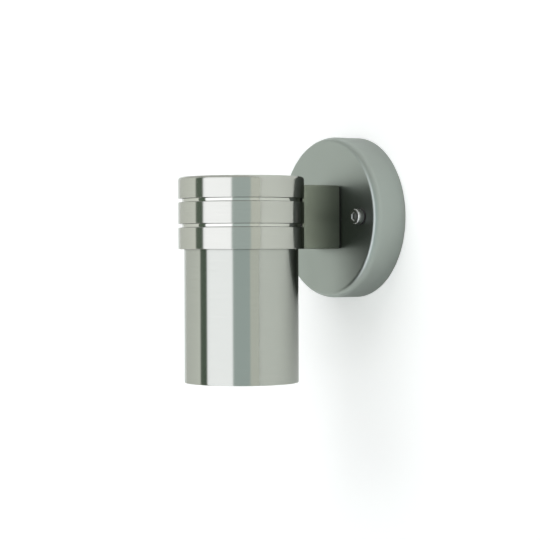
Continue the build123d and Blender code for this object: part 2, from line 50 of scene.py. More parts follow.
FULL_TURN = 2 * math.pi
OUT_OF_WALL = Matrix.Rotation(math.radians(90), 4, "X")  # local Z becomes the way out of the wall


# Sizes and colours


def length_prop(name, description, default):
    return FloatProperty(name=name, description=description, default=default, unit="LENGTH")


def colour_prop(name, description, default):
    return FloatVectorProperty(
        name=name, description=description, default=default, subtype="COLOR", min=0, max=1
    )


class CanopySizes(bpy.types.PropertyGroup):
    radius: length_prop("Radius", "Outer radius of the canopy", 0.046)
    depth: length_prop("Depth", "How far the face stands out", 0.021)
    wall: length_prop("Wall", "Thickness of the sheet", 0.001)
    shoulder: length_prop("Shoulder", "Outer radius between face and side", 0.007)
    shoulder_drop: length_prop("Shoulder drop", "Face to the straight side", 0.005)
    face_round: length_prop("Face round", "Round where face and shoulder meet", 0.0022)
    wire_hole: length_prop("Wire hole", "Radius of the hole for the leads", 0.0055)
    screw_hole: length_prop("Cap screw hole", "Radius of the cap screw holes", 0.00275)
    arm_screw_hole: length_prop("Arm screw hole", "Radius of the arm screw holes", 0.00225)
    screw_across: length_prop("Cap screw distance", "Middle to each cap screw", 0.032)
    arm_screw_up: length_prop("Arm screw distance", "Middle to each arm screw", 0.011)


class ArmSizes(bpy.types.PropertyGroup):
    width: length_prop("Width", "Across the arm", 0.027)
    height: length_prop("Height", "Height of the arm", 0.036)
    wall: length_prop("Wall", "Wall of the arm", 0.0015)
    corner: length_prop("Corner", "Radius of the long edges", 0.0015)
    end_round: length_prop("End round", "Radius round the wall end", 0.0006)
    start: length_prop("Start", "Wall to the arm's end", 0.0216)
    head_out: length_prop("Head distance", "Wall to the tube's axis", 0.080)


class HeadSizes(bpy.types.PropertyGroup):
    collar_radius: length_prop("Collar radius", "Outer radius of the rings", 0.035)
    collar_top: length_prop("Collar top", "Top above the arm's middle", 0.022)
    collar_bottom: length_prop("Collar bottom", "Bottom of the lowest ring", -0.018)
    top_round: length_prop("Top round", "Radius of the collar's top edge", 0.0018)
    groove: length_prop("Groove", "Height of each groove", 0.002)
    groove_depth: length_prop("Groove depth", "Depth of each groove", 0.0022)
    rings: IntProperty(name="Rings", description="Rings on the collar", default=3, min=1)
    edge: length_prop("Edge", "Rounding of the turned edges", 0.00025)
    tube_radius: length_prop("Tube radius", "Outer radius of the tube", 0.03175)
    tube_wall: length_prop("Tube wall", "Wall of the tube", 0.0015)
    tube_top: length_prop("Tube top", "Top of the tube, inside the collar", 0.002)
    tube_bottom: length_prop("Tube bottom", "Mouth of the tube", -0.092)


class ScrewSizes(bpy.types.PropertyGroup):
    head_radius: length_prop("Head radius", "Radius of the cap head", 0.00425)
    head_height: length_prop("Head height", "Height of the cap head", 0.004)
    socket: length_prop("Socket", "Hex socket across flats", 0.004)
    socket_depth: length_prop("Socket depth", "Depth of the hex socket", 0.002)
    thread_radius: length_prop("Thread radius", "Outer radius of the thread", 0.0025)
    pitch: length_prop("Pitch", "Lead of the thread", 0.0008)
    seat: length_prop("Seat", "Wall to the underside of the head", 0.0216)
    tip: length_prop("Tip", "Wall to the tip of the screw", 0.0056)
    seal: length_prop("Seal", "Thickness of the seal under the head", 0.0006)


class Finishes(bpy.types.PropertyGroup):
    steel: colour_prop("Stainless", "Colour of the satin stainless steel", (0.55, 0.575, 0.515))
    rubber: colour_prop("Rubber", "Colour of the seals", (0.018, 0.018, 0.018))
    wall_paint: colour_prop("Wall", "Colour of the wall and floor", (0.86, 0.87, 0.865))


# Shader helpers


def put(tree, kind, inputs=None, **settings):
    """Adds a node, with settings for its options and values or links for its inputs."""
    made = tree.nodes.new(kind)
    for name, value in settings.items():
        setattr(made, name, value)
    for key, value in (inputs or {}).items():
        if isinstance(value, bpy.types.NodeSocket):
            tree.links.new(value, made.inputs[key])
        else:
            made.inputs[key].default_value = value
    return made


def maths(tree, operation, *values):
    return put(tree, "ShaderNodeMath", dict(enumerate(values)), operation=operation).outputs[0]


def vectors(tree, operation, inputs):
    return put(tree, "ShaderNodeVectorMath", inputs, operation=operation).outputs


def axes(tree, vector):
    return put(tree, "ShaderNodeSeparateXYZ", {0: vector}).outputs


def span(tree, value, low, high, **settings):
    """Runs from 0 at low to 1 at high."""
    ends = {"Value": value, "From Min": low, "From Max": high}
    return put(tree, "ShaderNodeMapRange", ends, **settings).outputs[0]


def noise(tree, place, scale, detail, rough=0.5):
    inputs = {"Vector": place, "Scale": scale, "Detail": detail, "Roughness": rough}
    return put(tree, "ShaderNodeTexNoise", inputs).outputs[0]


def flattened(tree, place):
    """A place without its local Z, and how far that is from the axis."""
    flat = vectors(tree, "MULTIPLY", {0: place, 1: (1, 1, 0)})[0]
    return flat, vectors(tree, "LENGTH", {0: flat})["Value"]


def ramp(tree, value, stops):
    """A colour ramp from (position, colour) stops."""
    made = put(tree, "ShaderNodeValToRGB", {0: value})
    points = made.color_ramp.elements
    while len(points) < len(stops):
        points.new(0.5)
    for point, (position, colour) in zip(points, stops):
        point.position = position
        point.color = (*colour, 1)
    return made.outputs[0]


def tinted(tree, mask, low, high):
    """Mixes two colours by a mask."""
    return put(tree, "ShaderNodeMix", {0: mask, 6: low, 7: high}, data_type="RGBA").outputs[2]


def rgba(colour, gain=1.0):
    return (colour[0] * gain, colour[1] * gain, colour[2] * gain, 1.0)


def shaded(colour, gains):
    return tuple(c * gain for c, gain in zip(colour, gains))


# Effects, each a node group with a Vector and its own values as inputs


def turned_grain(group, given):
    """Fine rings round local Z, as a lathe or a polishing belt leaves them."""
    flat, radius = flattened(group, given["Vector"])
    around = vectors(group, "NORMALIZE", {0: flat})[0]
    turned = vectors(group, "SCALE", {0: around, "Scale": given["Streak"]})[0]
    off_lattice = (0.41, 0.41, 0.41)  # keeps the noise's own lines away from the axes
    spread = axes(group, vectors(group, "ADD", {0: turned, 1: off_lattice})[0])
    across = maths(group, "ADD", axes(group, given["Vector"])["Z"], radius)
    across = maths(group, "MULTIPLY", across, given["Density"])
    spot = put(group, "ShaderNodeCombineXYZ", {0: across, 1: spread[0], 2: spread[1]}).outputs[0]
    lines = noise(group, spot, 1.0, 3.0, 0.65)
    return {"Lines": lines, "Cloud": noise(group, given["Vector"], 60.0, 3.0)}


def fine_grain(group, given):
    """An even grain, as blasting or a fine pad leaves it, with a soft cloud under it."""
    place = given["Vector"]
    grain = noise(group, place, given["Scale"], 2.0, 0.6)
    return {"Grain": grain, "Cloud": noise(group, place, 55.0, 3.0)}


def edge_highlight(group, given):
    """A mask of sharp outer edges for a painted highlight, broken up so that the highlight isn't
    even.
    """
    pointiness = put(group, "ShaderNodeNewGeometry").outputs["Pointiness"]
    high = maths(group, "ADD", given["Reach"], 0.5)
    edge = span(group, pointiness, 0.51, high, interpolation_type="SMOOTHSTEP")
    patches = noise(group, given["Vector"], 350.0, 4.0)
    return {"Mask": maths(group, "MULTIPLY", edge, patches)}


def dust(group, given):
    """A thin veil of dust on faces that look up."""
    normal = put(group, "ShaderNodeNewGeometry").outputs["Normal"]
    up = span(group, axes(group, normal)["Z"], 0.3, 1.0)
    specks = noise(group, given["Vector"], 900.0, 5.0, 0.7)
    lying = maths(group, "MULTIPLY", up, specks)
    return {"Mask": maths(group, "MULTIPLY", lying, given["Amount"])}


def effect_group(build, values):
    """Makes a node group of an effect, with its values as inputs beside the Vector."""
    group = bpy.data.node_groups.new(build.__name__.replace("_", " "), "ShaderNodeTree")
    sockets = group.interface
    sockets.new_socket(name="Vector", in_out="INPUT", socket_type="NodeSocketVector")
    for label, value in values.items():
        made = sockets.new_socket(name=label, in_out="INPUT", socket_type="NodeSocketFloat")
        made.default_value = value
    results = build(group, group.nodes.new("NodeGroupInput").outputs)
    for label in results:
        sockets.new_socket(name=label, in_out="OUTPUT", socket_type="NodeSocketFloat")
    put(group, "NodeGroupOutput", results)
    return group


EFFECTS = {}


def effect(tree, build, **inputs):
    return put(tree, "ShaderNodeGroup", inputs, node_tree=EFFECTS[build]).outputs


# Materials

# colour that sharp edges are painted towards: a painted highlight
EDGE_HIGHLIGHT_STEEL = (0.8, 0.8, 0.78)
DUST = (0.5, 0.49, 0.46)


def new_material(name):
    """A material with its Principled shader, its tree and its Object coordinates."""
    material = bpy.data.materials.new(name)
    material.use_nodes = True
    tree = material.node_tree
    tree.nodes.clear()
    shader = put(tree, "ShaderNodeBsdfPrincipled")
    put(tree, "ShaderNodeOutputMaterial", {"Surface": shader.outputs[0]})
    place = put(tree, "ShaderNodeTexCoord").outputs["Object"]
    return material, tree, shader, place


def cover(tree, shader, colour, roughness, height, strength, distance):
    """Joins a finish's colour, roughness and relief to its shader."""
    inputs = {"Height": height, "Strength": strength, "Distance": distance}
    relief = put(tree, "ShaderNodeBump", inputs).outputs[0]
    for name, socket in (("Base Color", colour), ("Roughness", roughness), ("Normal", relief)):
        tree.links.new(socket, shader.inputs[name])


def make_metal(tree, shader, stretch, axis="Z", rotation=0.0):
    """Makes the shader a metal's, with highlights stretched round or along an axis."""
    shader.inputs["Metallic"].default_value = 1.0
    if stretch:
        shader.inputs["Anisotropic"].default_value = stretch
        shader.inputs["Anisotropic Rotation"].default_value = rotation
        tangent = put(tree, "ShaderNodeTangent", direction_type="RADIAL", axis=axis)
        tree.links.new(tangent.outputs[0], shader.inputs["Tangent"])


def dust_and_edge_highlight(tree, place, shade, painted_edges=True):
    """A colour with sharp edges painted lighter as a painted highlight and a veil of dust, and the
    dust's mask.
    """
    if painted_edges:
        # sharp edges painted lighter: a painted highlight
        painted_edge_highlight = effect(tree, edge_highlight, Vector=place, Reach=0.09)["Mask"]
        shade = tinted(tree, painted_edge_highlight, shade, rgba(EDGE_HIGHLIGHT_STEEL))
    veil = effect(tree, dust, Vector=place, Amount=0.25)["Mask"]
    return tinted(tree, veil, shade, rgba(DUST)), veil


def turned_steel(name, colour, centre, turn=None, axis="Z", rough=0.18, stretch=1.0,
                 polish_and_highlight_r=0.0):
    """Metal turned round an axis through centre; near the axis, within the given radius, it is
    smoother, as polished, and painted lighter as a painted highlight.
    """
    material, tree, shader, place = new_material(name)
    moved = vectors(tree, "SUBTRACT", {0: place, 1: centre})[0]
    if turn:
        moved = put(tree, "ShaderNodeMapping", {"Vector": moved, "Rotation": turn}).outputs[0]
    grain = effect(tree, turned_grain, Vector=moved, Density=3500.0, Streak=2.3)
    shade = tinted(tree, grain["Lines"], rgba(colour, 0.93), rgba(colour, 1.07))
    shade, veil = dust_and_edge_highlight(tree, place, shade)
    polish = maths(tree, "MULTIPLY_ADD", grain["Lines"], 0.08, rough - 0.06)
    polish = maths(tree, "MULTIPLY_ADD", grain["Cloud"], 0.04, polish)
    polish = maths(tree, "MULTIPLY_ADD", veil, 0.3, polish)
    if polish_and_highlight_r:
        polished_and_highlit = maths(tree, "LESS_THAN", flattened(tree, moved)[1], polish_and_highlight_r)
        # the polished zone is painted lighter, a painted highlight; only its lower roughness below
        # is real polish
        shade = tinted(tree, polished_and_highlit, shade, rgba(colour, 1.15))
        polish = maths(tree, "MULTIPLY_ADD", polished_and_highlit, -0.08, polish)
    make_metal(tree, shader, stretch, axis, 0.25)
    cover(tree, shader, shade, polish, grain["Lines"], 0.12, 0.00001)
    return material


def satin_steel(name, colour, rough, scale=2500.0, contrast=0.04, stretch=0.0, painted_edges=True):
    """Metal with an even satin grain, and sharp edges painted lighter as a painted highlight."""
    material, tree, shader, place = new_material(name)
    grain = effect(tree, fine_grain, Vector=place, Scale=scale)
    shade = tinted(tree, grain["Grain"], rgba(colour, 1 - contrast), rgba(colour, 1 + contrast))
    shade, veil = dust_and_edge_highlight(tree, place, shade, painted_edges)
    polish = maths(tree, "MULTIPLY_ADD", grain["Cloud"], 0.10, rough - 0.05)
    polish = maths(tree, "MULTIPLY_ADD", veil, 0.3, polish)
    make_metal(tree, shader, stretch)
    cover(tree, shader, shade, polish, grain["Grain"], 0.05, 0.00001)
    return material


def moulded(name, colour, rough, contrast):
    """Rubber, ceramic or plastic with a fine moulded skin."""
    material, tree, shader, place = new_material(name)
    grain = effect(tree, fine_grain, Vector=place, Scale=1200.0)
    veil = effect(tree, dust, Vector=place, Amount=0.35)["Mask"]
    shade = tinted(tree, grain["Cloud"], rgba(colour, 1 - contrast), rgba(colour, 1 + contrast))
    shade = tinted(tree, veil, shade, rgba(DUST))
    polish = maths(tree, "MULTIPLY_ADD", grain["Grain"], 0.12, rough - 0.06)
    cover(tree, shader, shade, polish, grain["Grain"], 0.25, 0.00004)
    return material


def striped_insulation(name, first, second):
    """Two colours along the lead, one on each side of it."""
    material, tree, shader, place = new_material(name)
    normal = put(tree, "ShaderNodeTexCoord").outputs["Normal"]
    side = span(tree, axes(tree, normal)["X"], -0.05, 0.05)
    grain = effect(tree, fine_grain, Vector=place, Scale=1500.0)
    polish = maths(tree, "MULTIPLY_ADD", grain["Grain"], 0.1, 0.35)
    shade = tinted(tree, side, rgba(first), rgba(second))
    cover(tree, shader, shade, polish, grain["Grain"], 0.1, 0.00002)
    return material


def clear_glass(name, colour):
    """Glass with a faint tint and the slight waviness of pressed glass."""
    material, tree, shader, place = new_material(name)
    grain = effect(tree, fine_grain, Vector=place, Scale=140.0)
    shade = tinted(tree, grain["Cloud"], rgba(colour, 0.985), rgba(colour))
    polish = maths(tree, "MULTIPLY_ADD", grain["Cloud"], 0.02, 0.01)
    shader.inputs["Transmission Weight"].default_value = 1.0
    shader.inputs["IOR"].default_value = 1.5
    cover(tree, shader, shade, polish, grain["Grain"], 0.05, 0.00005)
    return material


FINISHES = {}


def make_finishes(scene):
    """Builds the effects and every material."""
    for build, values in (
        (turned_grain, {"Density": 3500.0, "Streak": 2.0}), (fine_grain, {"Scale": 2500.0}),
        (edge_highlight, {"Reach": 0.08}), (dust, {"Amount": 0.3}),
    ):
        EFFECTS[build] = effect_group(build, values)
    steel = tuple(scene.light_finishes.steel)
    head = scene.light_head
    axis = (0, -scene.light_arm.head_out, 0)
    groove_floor = head.collar_radius - head.groove_depth
    # the collar's steel is painted lighter than the tube's: a painted highlight
    collar_steel_painted_highlight = shaded(steel, (1.12, 1.1, 1.1))
    # the canopy's and the arm's steel are painted darker than the tube's: painted shade
    canopy_steel_painted_shade = shaded(steel, (0.9, 0.96, 0.98))
    arm_steel_painted_shade = shaded(steel, (0.67, 0.71, 0.62))
    FINISHES.update({
        "collar": turned_steel("turned_stainless_collar_painted_highlight", collar_steel_painted_highlight, axis,
                               polish_and_highlight_r=groove_floor + 0.001),
        "tube": turned_steel("turned_stainless_tube", steel, axis),
        "canopy": satin_steel("satin_stainless_canopy_painted_shade", canopy_steel_painted_shade, 0.38),
        "arm": satin_steel("satin_stainless_arm_painted_shade", arm_steel_painted_shade, 0.36, stretch=0.85, painted_edges=False),
        "screw_steel": satin_steel("screw_stainless", (0.6, 0.6, 0.58), 0.3),
        "zinc_steel": satin_steel("bright_zinc", (0.66, 0.67, 0.69), 0.3, 700.0, 0.1),
        "brass": satin_steel("machined_brass", (0.78, 0.58, 0.26), 0.28, 1500.0),
        "plated_brass": satin_steel("plated_brass", (0.7, 0.69, 0.66), 0.25, 1500.0),
        "reflector_coating": satin_steel(
            "reflector_coating", (0.86, 0.86, 0.88), 0.12, 500.0, 0.03
        ),
        "green_yellow_insulation": striped_insulation(
            "green_yellow_insulation", (0.05, 0.3, 0.05), (0.8, 0.7, 0.03)
        ),
    })
    along_wall = (math.radians(90), 0, 0)
    across = scene.light_canopy.screw_across
    for side, x in (("left", -across), ("right", across)):
        FINISHES[f"screw_{side}"] = turned_steel(
            f"turned_screw_{side}", (0.78, 0.8, 0.76), (x, 0, 0), along_wall, "Y", 0.32, 0.3
        )
    for name, colour, rough, contrast in (
        ("black_rubber", tuple(scene.light_finishes.rubber), 0.6, 0.08),
        ("clear_silicone", (0.78, 0.79, 0.77), 0.4, 0.08),
        ("white_ceramic", (0.86, 0.84, 0.8), 0.5, 0.04),
        ("terminal_nylon", (0.86, 0.86, 0.82), 0.42, 0.03),
        ("brown_insulation", (0.16, 0.06, 0.03), 0.4, 0.08),
        ("blue_insulation", (0.05, 0.2, 0.55), 0.4, 0.08),
    ):
        FINISHES[name] = moulded(name, colour, rough, contrast)
    for name, colour in (("lens_glass", (0.93, 0.98, 0.96)), ("lamp_glass", (0.97, 0.97, 0.97))):
        FINISHES[name] = clear_glass(name, colour)


# Mesh helpers

LAND = 0.0004  # the narrow band beside an edge or round a hole that takes the painted edge highlight


def round_corners(bm, geom, radius, segments, affect="VERTICES"):
    bmesh.ops.bevel(
        bm, geom=geom, offset=radius, offset_type="OFFSET", affect=affect, segments=segments,
        profile=0.5, material=-1,
    )


def rounded_outline(points, rounds):
    """A bmesh with the closed outline of (radius, height) points as one face in XZ.

    rounds gives a radius for a point's number, and those corners are rounded.
    """
    bm = bmesh.new()
    corners = [bm.verts.new((x, 0, z)) for x, z in points]
    bm.faces.new(corners)
    for number, radius in rounds.items():
        round_corners(bm, [corners[number]], radius, 6 if radius > 0.001 else 3)
    return bm


def drop_faces(bm):
    bmesh.ops.delete(bm, geom=bm.faces[:], context="FACES_ONLY")


def hold_edges(bm):
    """Adds a point near each end of every long edge, so that the painted edge highlight stays at
    the edges.
    """
    for edge in [e for e in bm.edges if e.calc_length() > 6 * LAND]:
        ends = list(edge.verts)
        for end in ends:
            part = max(
                end.link_edges, key=lambda e: e.calc_length() if e.other_vert(end) in ends else 0
            )
            _, ends[ends.index(end)] = bmesh.utils.edge_split(part, end, LAND / part.calc_length())


def turn_round(bm, steps):
    """Spins all that a bmesh holds once round Z."""
    bmesh.ops.spin(
        bm, geom=bm.verts[:] + bm.edges[:], cent=(0, 0, 0), axis=(0, 0, 1), dvec=(0, 0, 0),
        angle=FULL_TURN, steps=steps, use_merge=True, use_duplicate=False,
    )


def tidy(bm):
    bmesh.ops.remove_doubles(bm, verts=bm.verts[:], dist=1e-6)
    bmesh.ops.recalc_face_normals(bm, faces=bm.faces[:])


def spin_outline(bm, steps):
    """Turns the outline into a closed solid round Z."""
    drop_faces(bm)
    on_axis = [edge for edge in bm.edges if all(abs(v.co.x) < 1e-7 for v in edge.verts)]
    bmesh.ops.delete(bm, geom=on_axis, context="EDGES")
    hold_edges(bm)
    turn_round(bm, steps)
    tidy(bm)


def turned_piece(points, rounds, steps=128):
    bm = rounded_outline(points, rounds)
    spin_outline(bm, steps)
    return bm


def smooth(mesh, sharp=35):
    mesh.shade_smooth()
    mesh.set_sharp_from_angle(angle=math.radians(sharp))


def make_object(bm, name, matrix, sharp=35):
    """Turns a bmesh into an object whose place is in its mesh."""
    bmesh.ops.transform(bm, matrix=matrix, verts=bm.verts[:])
    mesh = bpy.data.meshes.new(name)
    bm.to_mesh(mesh)
    bm.free()
    smooth(mesh, sharp)
    made = bpy.data.objects.new(name, mesh)
    bpy.context.scene.collection.objects.link(made)
    return made


def head_piece(points, rounds, name, steps=128, sharp=35):
    """A piece turned round the tube's axis."""
    axis = Matrix.Translation((0, -bpy.context.scene.light_arm.head_out, 0))
    return make_object(turned_piece(points, rounds, steps), name, axis, sharp)


def fit(piece, body, node, finish):
    """Places a finished piece over its CAD node."""
    piece.data.materials.clear()
    piece.data.materials.append(FINISHES[finish])
    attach(piece, body)
    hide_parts(node)


def cut_with(piece, cutter_bm):
    """Cuts a closed bmesh out of a piece for good."""
    cutter = make_object(cutter_bm, "cutter", Matrix())
    modifier = piece.modifiers.new("cut", "BOOLEAN")
    modifier.object = cutter
    modifier.operation = "DIFFERENCE"
    modifier.solver = "EXACT"
    shown = piece.evaluated_get(bpy.context.evaluated_depsgraph_get())
    mesh = bpy.data.meshes.new_from_object(shown)
    piece.modifiers.clear()
    piece.data = mesh
    smooth(mesh)
    bpy.data.objects.remove(cutter)


def add_cylinder(bm, radius, low, high, matrix):
    made = bmesh.ops.create_cone(
        bm, cap_ends=True, segments=48, radius1=radius, radius2=radius, depth=high - low
    )
    move = matrix @ Matrix.Translation((0, 0, (low + high) / 2))
    bmesh.ops.transform(bm, matrix=move, verts=made["verts"])


def parts_of(geom, kind):
    return [g for g in geom if isinstance(g, kind)]


def carry_ring(bm, ring, drop, grow=1.0):
    """Extrudes a ring of edges down local Z and gives the new ring."""
    made = bmesh.ops.extrude_edge_only(bm, edges=ring)["geom"]
    verts = parts_of(made, bmesh.types.BMVert)
    bmesh.ops.scale(bm, vec=(grow, grow, 1), verts=verts)
    bmesh.ops.translate(bm, vec=(0, 0, -drop), verts=verts)
    return [e for e in parts_of(made, bmesh.types.BMEdge) if e.is_boundary]


def edges_of(verts):
    return list({edge for vert in verts for edge in vert.link_edges})


def plate_with_holes(bm, ring, holes, height):
    """Fills between a loop of edges and round holes, given as (x, y, radius), each with a land."""
    loops = []
    edges = list(ring)
    for x, y, radius in holes:
        middle = Matrix.Translation((x, y, height))
        inner, outer = (
            edges_of(bmesh.ops.create_circle(bm, radius=r, segments=40, matrix=middle)["verts"])
            for r in (radius, radius + LAND)
        )
        bmesh.ops.bridge_loops(bm, edges=inner + outer)
        loops.append(inner)
        edges += outer
    bmesh.ops.triangle_fill(bm, edges=edges, use_beauty=True, normal=(0, 0, 1))
    return loops


def rounded_rectangle(bm, width, height, corner, cuts):
    """A loop of edges in XY with rounded corners and divided top and bottom."""
    before = set(bm.edges)
    made = bmesh.ops.create_grid(bm, x_segments=1, y_segments=1, size=0.5)
    bmesh.ops.scale(bm, vec=(width, height, 1), verts=made["verts"])
    round_corners(bm, made["verts"], corner, 6)
    drop_faces(bm)
    level = [
        e for e in bm.edges
        if abs(e.verts[0].co.y - e.verts[1].co.y) < 1e-7 and e.calc_length() > width / 2
    ]
    bmesh.ops.subdivide_edges(bm, edges=level, cuts=cuts)
    return [e for e in bm.edges if e not in before]


# Pieces


class LIGHT_OT_canopy(bpy.types.Operator):
    """Models the drawn canopy with its holes"""

    bl_idname = "wall_light.canopy"
    bl_label = "Canopy"

    def execute(self, context):
        s = context.scene.light_canopy
        rim_round = 0.0002
        bm = bmesh.new()
        rims = [
            self.skin(bm, s, inset, face_round)
            for inset, face_round in ((0, s.face_round), (s.wall, s.wall * 0.3))
        ]
        bm.edges.new(rims)
        round_corners(bm, rims, rim_round, 2)
        hold_edges(bm)
        turn_round(bm, 160)
        holes = [(way * s.screw_across, 0, s.screw_hole) for way in (-1, 1)]
        holes += [(0, way * s.arm_screw_up, s.arm_screw_hole) for way in (-1, 1)]
        holes.append((0, 0, s.wire_hole))
        open_edges = [e for e in bm.edges if e.is_boundary]
        loops = [
            plate_with_holes(
                bm, [e for e in open_edges if all(abs(v.co.z - height) < 1e-6 for v in e.verts)],
                holes, height,
            )
            for height in (s.depth, s.depth - s.wall)
        ]
        for upper, lower in zip(*loops):
            bmesh.ops.bridge_loops(bm, edges=upper + lower)
        tidy(bm)
        piece = make_object(bm, "canopy_shell", OUT_OF_WALL)
        fit(piece, "wall_light", "canopy", "canopy")
        return {"FINISHED"}

    def skin(self, bm, s, inset, face_round):
        """Draws the outer or inner side of the sheet from the face to the rim's point."""
        side = s.depth - s.shoulder_drop
        face_r = s.radius - s.shoulder
        height = s.depth - inset
        curve = s.shoulder - inset
        # the round joins the shoulder's arc where the arc leans this far from the face
        lean = math.acos((height - face_round - side) / (curve - face_round))
        reach = face_r + (curve - face_round) * math.sin(lean)
        last = bm.verts.new((reach, 0, height))
        bm.edges.new((bm.verts.new((face_r * 0.95, 0, height)), last))
        for x, z, angle, steps in (
            (reach, height - face_round, lean, 6), (face_r, side, math.pi / 2 - lean, 14),
        ):
            made = bmesh.ops.spin(
                bm, geom=[last], cent=(x, 0, z), axis=(0, 1, 0), dvec=(0, 0, 0), angle=angle,
                steps=steps, use_merge=False, use_duplicate=False,
            )
            last = made["geom_last"][0]
        rim = bm.verts.new((s.radius - inset, 0, 0))
        bm.edges.new((last, rim))
        return rim


class LIGHT_OT_arm(bpy.types.Operator):
    """Models the arm, coped to the collar"""

    bl_idname = "wall_light.arm"
    bl_label = "Arm"

    def execute(self, context):
        s = context.scene.light_arm
        cope_r = context.scene.light_head.collar_radius + 0.00005
        bm = bmesh.new()
        near = [
            rounded_rectangle(bm, s.width - 2 * inset, s.height - 2 * inset, corner, 25)
            for inset, corner in ((0, s.corner), (s.wall, 0.0002))
        ]
        bmesh.ops.translate(bm, vec=(0, 0, s.start), verts=bm.verts[:])
        far = []
        for loop in near:
            made = bmesh.ops.extrude_edge_only(bm, edges=loop)["geom"]
            for vert in parts_of(made, bmesh.types.BMVert):
                vert.co.z = s.head_out - math.sqrt(cope_r**2 - vert.co.x**2)
            far.append([e for e in parts_of(made, bmesh.types.BMEdge) if e.is_boundary])
        for outer, inner in (near, far):
            bmesh.ops.bridge_loops(bm, edges=outer + inner)
        round_corners(bm, near[0], s.end_round, 3, "EDGES")
        tidy(bm)
        piece = make_object(bm, "arm_tube", OUT_OF_WALL, sharp=40)
        fit(piece, "wall_light", "arm", "arm")
        return {"FINISHED"}


class LIGHT_OT_collar(bpy.types.Operator):
    """Models the turned collar with its grooves and bores"""

    bl_idname = "wall_light.collar"
    bl_label = "Collar"

    def execute(self, context):
        s = context.scene.light_head
        points, rounds = self.rings(s)
        bore = s.tube_radius + 0.00008
        shoulder = s.tube_top + 0.0015
        cavity_r = s.collar_radius - 0.005
        ceiling = s.collar_top - 0.003
        boss_r, boss_low = 0.0055, ceiling - 0.002
        screw_r, screw_top = 0.00205, s.collar_top - 0.0015
        points += [
            (bore, s.collar_bottom), (bore, shoulder), (cavity_r, shoulder), (cavity_r, ceiling),
            (boss_r, ceiling), (boss_r, boss_low), (screw_r, boss_low), (screw_r, screw_top),
            (0, screw_top),
        ]
        piece = head_piece(points, rounds, "collar_body", 160, 30)
        cut_with(piece, self.side_holes())
        fit(piece, "wall_light", "collar", "collar")
        return {"FINISHED"}

    def rings(self, s):
        """Outline points down the outside, with a groove between rings, and their rounds."""
        ring_h = (s.collar_top - s.collar_bottom - (s.rings - 1) * s.groove) / s.rings
        floor_r = s.collar_radius - s.groove_depth
        points = [(0, s.collar_top), (s.collar_radius, s.collar_top)]
        for n in range(s.rings):
            low = s.collar_top - ring_h - n * (ring_h + s.groove)
            points.append((s.collar_radius, low))
            if n < s.rings - 1:
                after = low - s.groove
                points += [(floor_r, low), (floor_r, after), (s.collar_radius, after)]
        rounds = dict.fromkeys(range(2, len(points)), s.edge)
        rounds[1] = s.top_round
        return points, rounds

    def side_holes(self):
        """Cutters for the holes towards the arm: one for the leads, two for its head screws."""
        bm = bmesh.new()
        hole_up = 0.011
        for x, radius, deepest in (
            (0, 0.0043, 0.060), (-0.0088, 0.00225, 0.0505), (0.0088, 0.00225, 0.0505),
        ):
            place = OUT_OF_WALL @ Matrix.Translation((x, hole_up, 0))
            add_cylinder(bm, radius, 0.040, deepest, place)
        return bm


class LIGHT_OT_tube(bpy.types.Operator):
    """Models the tube that hangs from the collar"""

    bl_idname = "wall_light.tube"
    bl_label = "Tube"

    def execute(self, context):
        s = context.scene.light_head
        bore = s.tube_radius - s.tube_wall
        points = [(s.tube_radius, s.tube_top), (s.tube_radius, s.tube_bottom),
                  (bore, s.tube_bottom), (bore, s.tube_top)]
        piece = head_piece(points, dict.fromkeys(range(4), s.edge), "tube_body", 160)
        fit(piece, "tube_head", "tube", "tube")
        return {"FINISHED"}


class LIGHT_OT_lens(bpy.types.Operator):
    """Models the lens, its gasket and the rings that hold it"""

    bl_idname = "wall_light.lens"
    bl_label = "Lens and rings"

    def execute(self, context):
        s = context.scene.light_head
        outer = s.tube_radius - s.tube_wall - 0.00005
        foot = s.tube_bottom + 0.0045
        ring_top = foot + 0.003
        lens_low, lens_high = ring_top + 0.001, ring_top + 0.004
        gasket_top = ring_top + 0.005
        seat_top = gasket_top + 0.0015
        ring_r, seat_r, gasket_r = outer - 0.003, outer - 0.0032, outer - 0.0034
        groove_r = gasket_r + 0.002
        glass_r = gasket_r + 0.00195
        for name, node, slot, finish, points, corners, radius in (
            ("lens_ring_body", "lens_ring", "stainless", "tube",
             [(outer, foot), (outer, ring_top), (ring_r, ring_top), (ring_r, foot + 0.001),
              (outer - 0.002, foot)], (0, 3, 4), 0.0002),
            ("lens_gasket_body", "lens_gasket", "clear_silicone", "clear_silicone",
             [(outer, ring_top), (outer, gasket_top), (gasket_r, gasket_top), (gasket_r, lens_high),
              (groove_r, lens_high), (groove_r, lens_low), (gasket_r, lens_low),
              (gasket_r, ring_top)], (2, 3, 6, 7), 0.0003),
            ("lens_disc", "lens", "lens_glass", "lens_glass",
             [(0, lens_low), (glass_r, lens_low), (glass_r, lens_high), (0, lens_high)],
             (1, 2), 0.0003),
            ("lens_seat_ring_body", "lens_seat_ring", "stainless", "tube",
             [(outer, gasket_top), (outer, seat_top), (seat_r, seat_top), (seat_r, gasket_top)],
             (2, 3), 0.0002),
        ):
            piece = head_piece(points, dict.fromkeys(corners, radius), name)
            if node == "lens_ring":
                self.notch(piece, foot)
            fit(piece, "tube_head", node, finish)
        return {"FINISHED"}

    def notch(self, ring, foot):
        """Cuts the slot for a key right across the ring's lower face."""
        out = bpy.context.scene.light_arm.head_out
        cutter = bmesh.new()
        verts = bmesh.ops.create_cube(cutter, size=1)["verts"]
        size = Matrix.Diagonal((0.07, 0.002, 0.001, 1))
        bmesh.ops.transform(cutter, matrix=Matrix.Translation((0, -out, foot)) @ size, verts=verts)
        cut_with(ring, cutter)


